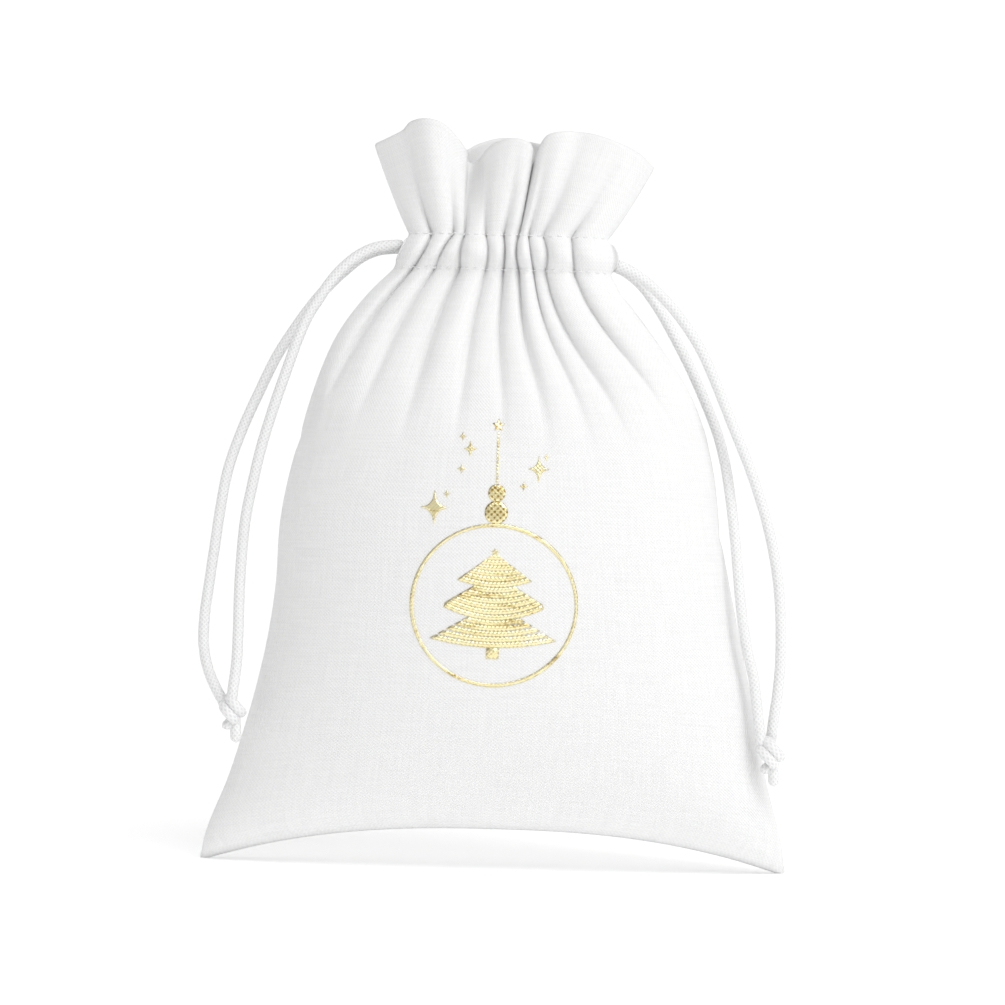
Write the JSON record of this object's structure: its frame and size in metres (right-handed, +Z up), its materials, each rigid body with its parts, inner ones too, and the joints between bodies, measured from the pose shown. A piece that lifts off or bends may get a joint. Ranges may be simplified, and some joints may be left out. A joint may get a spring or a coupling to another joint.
{
  "type": "drawstring gift pouch",
  "caption": "Filled cotton pouch with a frilled neck, drawn shut by cords that run in a stitched casing and end in knots, with a foil print on the front.",
  "frame": {"origin": "middle of the base, on the surface that the pouch stands on", "axes": "+Z up towards the frill, +X to the right seen from the front, -Y out of the printed front"},
  "size_m": [0.1512, 0.0631, 0.1884],
  "materials": {
    "cotton": "white plain-weave cotton",
    "thread": "white sewing thread",
    "cord": "white knitted satin cord",
    "foil": "gold metallised foil print"
  },
  "bodies": {
    "root": {"back_casing": "cotton", "back_frill": "cotton", "back_lower_stitching": "thread", "back_panel": "cotton", "back_upper_stitching": "thread", "bottom_seam": "cotton", "foil_bauble": "foil", "foil_cap": "foil", "foil_chain": "foil", "foil_sparkle_1": "foil", "foil_sparkle_2": "foil", "foil_sparkle_3": "foil", "foil_sparkle_4": "foil", "foil_sparkle_5": "foil", "foil_sparkle_6": "foil", "foil_sparkle_7": "foil", "foil_sparkle_8": "foil", "foil_star": "foil", "foil_tree": "foil", "front_casing": "cotton", "front_frill": "cotton", "front_lower_stitching": "thread", "front_panel": "cotton", "front_upper_stitching": "thread", "left_cord_run": "cord", "left_side_seam": "cotton", "right_cord_run": "cord", "right_side_seam": "cotton"},
    "left_draw": {"left_front_lead": "cord", "left_back_lead": "cord"},
    "left_tails": {"left_front_tail": "cord", "left_back_tail": "cord", "left_knot": "cord"},
    "right_draw": {"right_front_lead": "cord", "right_back_lead": "cord"},
    "right_tails": {"right_front_tail": "cord", "right_back_tail": "cord", "right_knot": "cord"}
  },
  "joints": [
    {"name": "left_cord_pull", "type": "slide", "parent": "root", "child": "left_draw", "axis": [-1, 0, 0], "range_m": [0, 0.01]},
    {"name": "left_cord_swing", "type": "hinge", "parent": "left_draw", "child": "left_tails", "pos_m": [-0.0267, 0, 0.1576], "axis": [0, 1, 0], "range_deg": [0, 65]},
    {"name": "right_cord_pull", "type": "slide", "parent": "root", "child": "right_draw", "axis": [1, 0, 0], "range_m": [0, 0.01]},
    {"name": "right_cord_swing", "type": "hinge", "parent": "right_draw", "child": "right_tails", "pos_m": [0.0267, 0, 0.15435], "axis": [0, -1, 0], "range_deg": [0, 65]}
  ]
}
